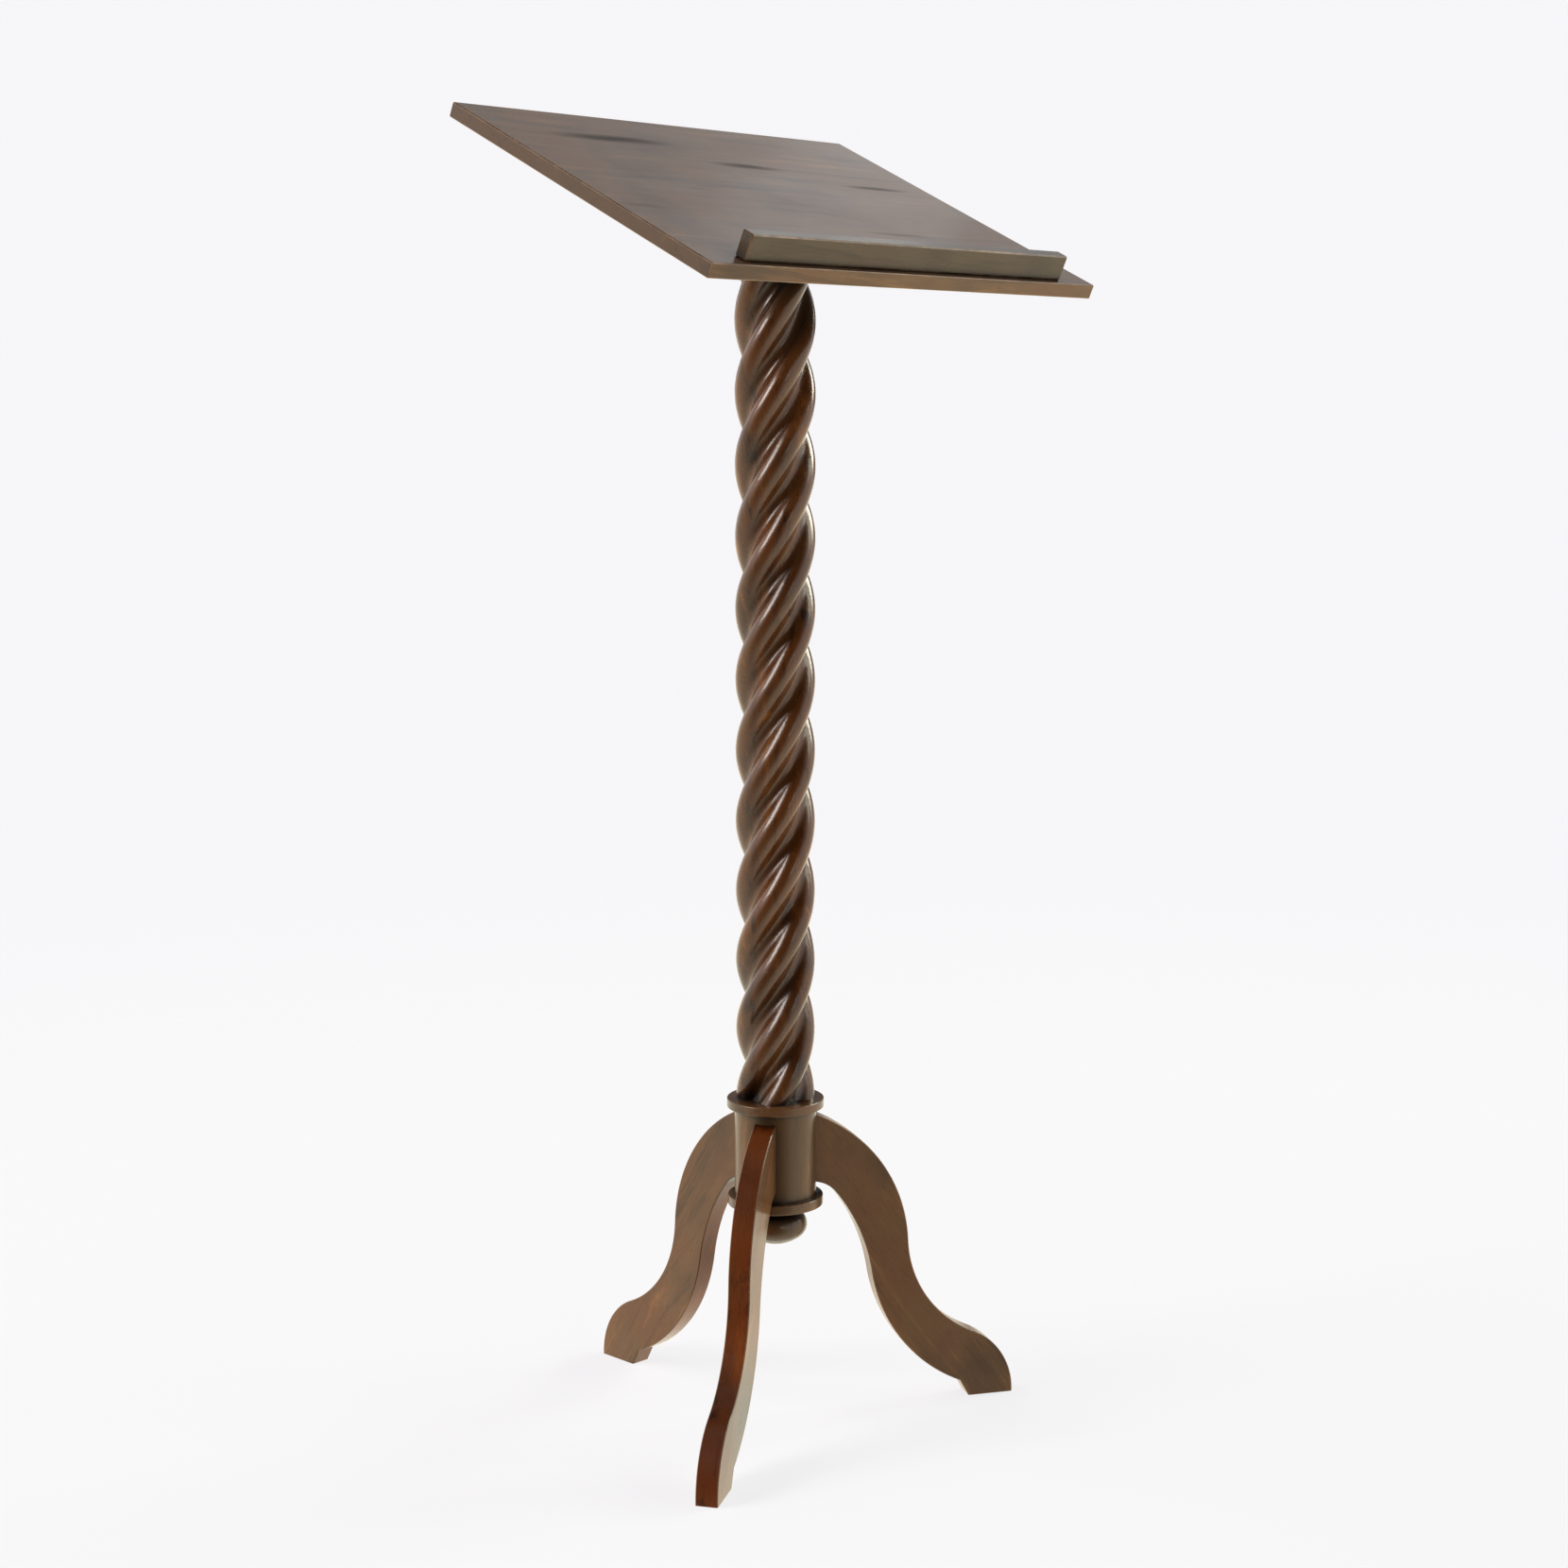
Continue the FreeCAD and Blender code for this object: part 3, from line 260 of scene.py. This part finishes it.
def wood(name, turns=(), shift=(0, 0, 0), tones=WALNUT, rim=None, marks=(), dulled=0.0,
         gloss=0.27, coat=0.2, cloud=0.5, uneven=0.05, ends=0.62, hollow=0.022, desk_shadow=0.0,
         edge_tone=WEAR_AND_HIGHLIGHT_TONE, square=False):
    """Varnished wood. The turns, one after another, take the object's axes to the grain's.

    tones are those of a plank's broad faces, and rim those of the sawn faces around it. shift
    picks the part of the grain that a piece is cut from. gloss is the middle roughness and uneven
    its swing. marks darken the wood, and dulled is what they add to the roughness. cloud, ends
    and desk_shadow are how much the cloudy tint, the end grain and the painted shadow under the
    desk show; hollow is how far the painted shade of the hollows and joints reaches; square is
    for a box, whose edges are found from its axes. edge_tone is the colour that lightens the
    edges: worn wood, and a painted highlight.
    """
    dark = tones[0]
    material, g = new_material(name)
    place, facing = turned_to_grain(g, turns)
    straight = g.vector_math("ADD", place, shift)
    # The fibres waver slowly to both sides.
    swing = g.vector_math("SUBTRACT", g.noise(straight, WAVER, "Color"), WAVER_MIDDLE)
    waver = g.scaled(swing, WAVER_REACH)
    grain = g.vector_math("ADD", straight, waver)

    bands = g.noise(grain, BANDS)
    fibres = g.noise(grain, FIBRES)
    end_grain = g.between(g.along_either_way(facing, FIBRE_AXIS), *END_FACE)
    side_grain = g.math("SUBTRACT", 1.0, end_grain)
    pores = g.math("MULTIPLY", g.between(g.noise(grain, PORES), *PORE), side_grain)

    figure = g.math("ADD", g.math("MULTIPLY", bands, BAND_SHARE),
                    g.math("MULTIPLY", fibres, FIBRE_SHARE))
    colour = painted(g, figure, tones)
    if rim:
        broad = g.between(g.along_either_way(facing, BROAD_AXIS), *BROAD_FACE)
        colour = g.mix(broad, painted(g, figure, rim), colour)
    colour = g.mix(cloud, colour, g.ramp(g.noise(straight, CLOUDS), CLOUD_TINTS), "MULTIPLY")
    colour = g.mix(g.math("MULTIPLY", pores, PORE_TONE), colour, dark)
    colour = g.mix(g.math("MULTIPLY", end_grain, ends), colour, dark)
    stain = stained(g, g.vector_math("ADD", place, g.scaled(waver, RAGGEDNESS)), marks)
    if marks:
        colour = g.mix(stain, colour, STREAK_BLACK)
    # Painted shade: the colour darkens in the hollows and joints, where little of the surroundings
    # is open.
    hollow_shade = g.between(g.openness(hollow), *HOLLOW)
    colour = g.mix(g.math("MULTIPLY", hollow_shade, HOLLOW_SHADE_TONE), colour, HOLLOW_SHADE)
    # Painted shadow: the column darkens where the desk above roofs it over.
    if desk_shadow:
        colour = g.mix(g.between(g.openness(UNDER_DESK_SHADOW_REACH), *ROOFED, 0.0, desk_shadow), colour, UNDER_DESK_SHADOW)
    # Lightened edges: wear, and a painted highlight along the rounded edges; on the board and
    # ledge only a painted highlight.
    edges = edges_for_wear_and_highlight(g, facing, square)
    edge_lightening = g.between(g.noise(straight, EDGE_LIGHTENING), *EDGE_LIGHTENING_SPAN, *EDGE_LIGHTENING_TONE)
    colour = g.mix(g.math("MULTIPLY", edges, edge_lightening), colour, edge_tone)

    smudges = g.noise(grain, SMUDGES)
    roughness = g.math("ADD", g.between(smudges, *SMUDGE_SPAN, gloss - uneven, gloss + uneven),
                       g.math("MULTIPLY", g.math("ADD", fibres, hollow_shade), ROUGHENING))
    roughness = g.math("SUBTRACT", roughness, g.math("MULTIPLY", edges, EDGE_POLISH))
    if dulled:
        roughness = g.math("ADD", roughness, g.math("MULTIPLY", stain, dulled))
    raised = g.math("MULTIPLY", g.math("MULTIPLY", fibres, side_grain), FIBRE_HEIGHT)
    height = g.math("SUBTRACT", raised, g.math("MULTIPLY", pores, PORE_HEIGHT))
    g.finish(Base_Color=colour, Roughness=roughness, IOR=WOOD_IOR,
             Normal=g.bump(height, WOOD_BUMP, WOOD_RELIEF),
             Coat_Weight=coat, Coat_Roughness=VARNISH_ROUGHNESS, Coat_IOR=VARNISH_IOR)
    return material


# ---------------------------------------------------------------- metal and leather

BRASS, TARNISHED_BRASS, BRASS_ROUGHNESS = linear("c0995a"), linear("76582e"), 0.24
STEEL, TARNISHED_STEEL, STEEL_ROUGHNESS = linear("b9bbbd"), linear("77736d"), 0.28
TOOL_LINES = Noise((120.0, 120.0, 1800.0), 2.0, 0.6)
PATINA = Noise(90.0, 4.0, 0.6)
TARNISH_SPAN, TARNISH_TONE = (0.42, 0.75), (0.0, 0.8)
DULLING_SPAN, DULLING = (0.35, 0.75), 0.25
TOOL_LINE_ROUGHNESS = 0.06
METAL_EDGE, METAL_EDGE_TONE = 0.0006, 0.5
METAL_BUMP, METAL_RELIEF = 0.15, 0.0001

HIDE_TONES = ((0.3, linear("3a2415")), (0.55, linear("5c3a22")), (0.8, linear("7a5233")))
HIDE_CREASE = linear("24150c")
HIDE = Noise(160.0, 3.0, 0.6)
HIDE_SPAN, HIDE_ROUGHNESS = (0.3, 0.8), (0.55, 0.78)
PEBBLE_SCALE = 1400.0
PEBBLE_SPAN, PEBBLE_TONE = (0.2, 0.7), (0.0, 0.4)
HIDE_BUMP, HIDE_RELIEF = 0.4, 0.0002


def metal(name, base, tarnish, roughness):
    """Turned or rolled metal with fine tool lines and a slight uneven tarnish."""
    material, g = new_material(name)
    place = g.add("ShaderNodeTexCoord").outputs["Object"]
    lines = g.noise(place, TOOL_LINES)
    patina = g.noise(place, PATINA)
    colour = g.mix(g.between(patina, *TARNISH_SPAN, *TARNISH_TONE), base, tarnish)
    colour = g.mix(g.math("MULTIPLY", g.edges(METAL_EDGE), METAL_EDGE_TONE), colour, base)
    rough = g.math("ADD", g.between(patina, *DULLING_SPAN, roughness, roughness + DULLING),
                   g.math("MULTIPLY", lines, TOOL_LINE_ROUGHNESS))
    g.finish(Base_Color=colour, Roughness=rough, Metallic=1.0,
             Normal=g.bump(lines, METAL_BUMP, METAL_RELIEF))
    return material


def leather(name):
    """Thick harness leather: a pebbled grain over slow changes of tone, dark between pebbles."""
    material, g = new_material(name)
    place = g.add("ShaderNodeTexCoord").outputs["Object"]
    pebbles = g.add("ShaderNodeTexVoronoi", {"Vector": place, "Scale": PEBBLE_SCALE},
                    feature="F1").outputs["Distance"]
    tone = g.noise(place, HIDE)
    colour = g.mix(g.between(pebbles, *PEBBLE_SPAN, *PEBBLE_TONE), g.ramp(tone, HIDE_TONES),
                   HIDE_CREASE)
    g.finish(Base_Color=colour, Roughness=g.between(tone, *HIDE_SPAN, *HIDE_ROUGHNESS),
             Normal=g.bump(pebbles, HIDE_BUMP, HIDE_RELIEF, invert=True))
    return material


# ---------------------------------------------------------------- what each piece is made of

# Turns from the row frame to the grain's frame, whose X axis runs along the fibres.
DESK_SLOPE = math.radians(25)
LEG_SLOPE = math.radians(55)
QUARTER = math.radians(90)
FLAT_ON_DESK = (-DESK_SLOPE, 0, 0)
CROSSWISE = (0, 0, QUARTER)
UPRIGHT = (0, QUARTER, 0)
COLLAR_TURN = (0, 0, 0.6)


def dress(material, *names):
    for node_name in names:
        mesh = nodes[node_name].data
        mesh.materials.clear()
        mesh.materials.append(material)


def on_board(across, upslope):
    """A point of the board in the flattened frame, measured from the board's middle."""
    low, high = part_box("board")
    middle = (low + high) / 2
    up_the_slope = middle.y * math.cos(DESK_SLOPE) + middle.z * math.sin(DESK_SLOPE)
    return (middle.x + across, up_the_slope + upslope, 0)


# Dark mineral streaks in the board: middle, half length, half width, strength.
STREAKS = (
    (on_board(-0.105, 0.113), 0.090, 0.011, 0.8),
    (on_board(0.022, 0.071), 0.055, 0.008, 0.75),
    (on_board(0.158, 0.043), 0.055, 0.006, 0.7),
    (on_board(-0.205, -0.052), 0.035, 0.006, 0.2),
    (on_board(0.070, -0.075), 0.060, 0.005, 0.3),
)
# The front leg is darkened about its ankle, in the same terms.
ANKLE = (((0.055, 0, 0), 0.09, 0.06, 0.45),)
# name, compass direction, tones of its broad faces, marks
LEGS = (
    ("leg_back", 90, GREYED, ()),
    ("leg_left", 210, GREYED, ANKLE),
    ("leg_right", 330, OLIVE, ()),
)

dress(wood("desk_board", [FLAT_ON_DESK], (0, 0.3, 0), BOARD, marks=STREAKS, dulled=0.3,
           gloss=0.32, cloud=0.6, uneven=0.015, edge_tone=DESK_EDGE_HIGHLIGHT, square=True), "board")
dress(wood("desk_ledge", [FLAT_ON_DESK], (1, 0.7, 0), LEDGE, ends=0.1, edge_tone=DESK_EDGE_HIGHLIGHT,
           square=True), "ledge")
dress(wood("desk_cheeks", [FLAT_ON_DESK, CROSSWISE], (2, 0.1, 0)), "cheek_left", "cheek_right")
dress(wood("turned_column", [UPRIGHT], (0, 0.9, 0.2), RUSSET, gloss=0.22, coat=0.4,
           hollow=0.03, desk_shadow=0.9), "column", "head_block")
dress(wood("turned_hub", [UPRIGHT], (3, 0.5, 0.2), TURNED), "hub", "finial")
dress(wood("turned_collars", [COLLAR_TURN], (4, 0.2, 0.1), COLLAR),
      "collar_upper", "collar_lower")
dress(wood("dowel", [FLAT_ON_DESK], (5, 0, 0), BEECH), "ledge_dowels", "head_pin")
for leg_name, leg_angle, leg_tones, leg_marks in LEGS:
    leg_turns = [(0, 0, -math.radians(leg_angle)), (0, -LEG_SLOPE, 0)]
    dress(wood("sawn_" + leg_name, leg_turns, (leg_angle / 100, 0, 0), leg_tones, REDDISH,
               leg_marks, cloud=0.7), leg_name)
dress(metal("brass", BRASS, TARNISHED_BRASS, BRASS_ROUGHNESS), "clamp_knob", "rod_insert",
      "finial_insert", "cheek_screws", "pivot_bolt", "pivot_washer")
dress(metal("steel", STEEL, TARNISHED_STEEL, STEEL_ROUGHNESS),
      "tie_rod", "tie_washer", "tie_nut")
dress(leather("friction_leather"), "friction_discs")

# ---------------------------------------------------------------- room and light


def around(direction_deg, distance, height):
    """A point at that compass direction from the column's axis, counted from +X."""
    angle = math.radians(direction_deg)
    return (distance * math.cos(angle), distance * math.sin(angle), height)


BACKGROUND = linear("f8f7f9")
FLOOR_SIDES, FLOOR_RADIUS = 96, 9.0
FLOOR_COLOUR = (0.93, 0.93, 0.94, 1)
FLOOR_GLOW = 0.85               # the share of the floor that is plain background
FLOOR_FADE = (0.9, 3.5)         # how far from the column it starts to fade, and is gone

# The directions that the room's glow changes along; FRONT is roughly towards the photographer.
SIDE, FRONT, UP = around(125, 1.0, 0.0), around(214, 1.0, 0.0), (0, 0, 1)
HORIZON = (0.08, -0.12)         # the rise at which the room above ends, and the one below starts
ROOM_ABOVE, ROOM_BELOW = (1.0, 0.99, 0.97, 1), (0.94, 0.93, 0.78, 1)
# Each pair: where a change of the room's glow starts and ends, and its glow there.
SIDE_SPAN, SIDE_GLOW = (0.35, 0.88), (0.06, 1.6)
OVERHEAD_SPAN, OVERHEAD_SHARE = (0.3, 0.85), (1.0, 0.15)
FRONT_SPAN, FRONT_GLOW = (0.40, 0.95), (1.65, 0.25)

MIDDLE = (0, 0, 0.65)           # what the lights point at
LIGHT_DISTANCE = 9.0

# The photographed view: the camera stands at this compass direction from the column.
CAMERA_DIRECTION = 224.79
CAMERA_DISTANCE = 2.3243
CAMERA_HEIGHT = 0.8913
CAMERA_HEADING = 44.60
CAMERA_PITCH = 7.71
SENSOR_WIDTH, FOCAL_LENGTH = 36.0, 60.99    # millimetres
FARTHEST_SEEN = 100.0
GAMMA = 0.86


def make_floor():
    """A pale disc that fades out into the pale room, and is clear from underneath."""
    bpy.ops.mesh.primitive_circle_add(vertices=FLOOR_SIDES, radius=FLOOR_RADIUS, fill_type="NGON")
    floor = bpy.context.object
    floor.name = "studio_floor"
    material, g = new_material("studio_floor")
    reach = g.length(g.add("ShaderNodeTexCoord").outputs["Object"])
    matte = g.add("ShaderNodeBsdfDiffuse", {"Color": FLOOR_COLOUR})
    glow = g.add("ShaderNodeEmission", {"Color": BACKGROUND, "Strength": 1.0})
    clear = g.add("ShaderNodeBsdfTransparent")
    pale = g.add("ShaderNodeMixShader", {0: FLOOR_GLOW, 1: matte.outputs[0], 2: glow.outputs[0]})
    underside = g.add("ShaderNodeNewGeometry").outputs["Backfacing"]
    gone = g.math("MAXIMUM", g.between(reach, *FLOOR_FADE), underside)
    faded = g.add("ShaderNodeMixShader", {0: gone, 1: pale.outputs[0], 2: clear.outputs[0]})
    g.add("ShaderNodeOutputMaterial", {"Surface": faded.outputs[0]})
    floor.data.materials.append(material)
    # The pale room below the horizon lights the object straight through the floor.
    floor.visible_diffuse = False
    floor.visible_glossy = False
    floor.visible_shadow = False
    return floor


def make_world():
    """A pale room: the camera sees it plain, and it lights the object from the sides and below."""
    world = bpy.data.worlds.new("studio")
    bpy.context.scene.world = world
    world.use_nodes = True
    g = Graph(world.node_tree)
    direction = g.add("ShaderNodeTexCoord").outputs["Generated"]
    sideways = g.along_either_way(direction, SIDE)
    frontal = g.along(direction, FRONT)
    rise = g.along(direction, UP)
    # Above the horizon both the front and the back of the room are dim, below it the front is.
    upper = g.math("MULTIPLY", g.between(sideways, *SIDE_SPAN, *SIDE_GLOW),
                   g.between(rise, *OVERHEAD_SPAN, *OVERHEAD_SHARE))
    lower = g.between(frontal, *FRONT_SPAN, *FRONT_GLOW)
    below = g.between(rise, *HORIZON)
    glow = g.math("ADD", g.math("MULTIPLY", below, lower),
                  g.math("MULTIPLY", g.math("SUBTRACT", 1.0, below), upper))
    colour = g.mix(below, ROOM_ABOVE, ROOM_BELOW)
    plain = g.add("ShaderNodeBackground", {"Color": BACKGROUND, "Strength": 1.0})
    room = g.add("ShaderNodeBackground", {"Color": colour, "Strength": glow})
    seen = g.add("ShaderNodeLightPath").outputs["Is Camera Ray"]
    both = g.add("ShaderNodeMixShader", {0: seen, 1: room.outputs[0], 2: plain.outputs[0]})
    g.add("ShaderNodeOutputWorld", {"Surface": both.outputs[0]})


def gather(name, members):
    """A collection for lights to take as the only things they shine on."""
    collection = bpy.data.collections.new(name)
    for member in members:
        collection.objects.link(member)
    return collection


def softbox(name, direction_deg, elevation_deg, size, radiance, colour, shines_on):
    """A rectangular light of that radiance, in that direction from the middle of the stand."""
    rise = math.radians(elevation_deg)
    spot = Vector(around(direction_deg, LIGHT_DISTANCE * math.cos(rise),
                         LIGHT_DISTANCE * math.sin(rise)))
    data = bpy.data.lights.new(name, "AREA")
    data.shape = "RECTANGLE"
    data.size, data.size_y = size
    data.energy = radiance * math.pi * size[0] * size[1]
    data.color = colour
    light = bpy.data.objects.new(name, data)
    bpy.context.collection.objects.link(light)
    light.location = spot + Vector(MIDDLE)
    light.rotation_euler = (-spot).to_track_quat("-Z", "Y").to_euler()
    light.visible_camera = False
    if shines_on:
        light.light_linking.receiver_collection = shines_on


def make_camera():
    data = bpy.data.cameras.new("photo_view")
    data.sensor_width = SENSOR_WIDTH
    data.sensor_fit = "HORIZONTAL"
    data.lens = FOCAL_LENGTH
    data.clip_end = FARTHEST_SEEN
    camera = bpy.data.objects.new("photo_view", data)
    bpy.context.collection.objects.link(camera)
    camera.location = around(CAMERA_DIRECTION, CAMERA_DISTANCE, CAMERA_HEIGHT)
    camera.rotation_euler = (math.radians(90 - CAMERA_PITCH), 0,
                             math.radians(CAMERA_HEADING - 90))
    bpy.context.scene.camera = camera


studio_floor = make_floor()
make_world()
# The desk's flat top would throw the strong lights back whole, so it has weaker ones of its own.
DESK_TOP = ("board", "ledge")
desk_top = gather("desk_top", [nodes[name] for name in DESK_TOP])
all_but_desk_top = gather("all_but_desk_top",
                          [studio_floor] + [nodes[name] for name in nodes if name not in DESK_TOP])
# name, compass direction, elevation, size, radiance, colour, what it shines on (None: everything)
for light in (
    ("left_back", 153, 31, (3.6, 4.0), 11.5, (1.0, 0.95, 0.91), all_but_desk_top),
    ("left_high", 123, 54, (3.4, 2.8), 6.2, (1.0, 0.96, 0.93), all_but_desk_top),
    ("right_back", 346, 28, (3.6, 3.0), 11.5, (0.95, 1.0, 0.84), all_but_desk_top),
    ("right_high", 312, 36, (2.8, 2.2), 5.0, (0.92, 1.0, 0.84), all_but_desk_top),
    ("desk_left", 150, 40, (9.0, 7.0), 2.3, (1.0, 0.90, 0.80), desk_top),
    ("desk_right", 335, 36, (8.0, 6.0), 1.5, (0.97, 1.0, 0.92), desk_top),
    ("right_strip", 250, 14, (0.8, 2.7), 4.4, (0.86, 1.0, 0.88), None),
    ("desk_sheen", 12, 28, (7.0, 4.5), 0.74, (0.96, 0.98, 1.0), None),
    ("desk_sheen_far", 47, 30, (4.4, 4.5), 0.74, (0.96, 0.98, 1.0), None),
):
    softbox(*light)
make_camera()

view = bpy.context.scene.view_settings
view.view_transform = "Standard"
view.look = "None"
view.exposure = 0.0
view.gamma = GAMMA

bpy.context.view_layer.update()
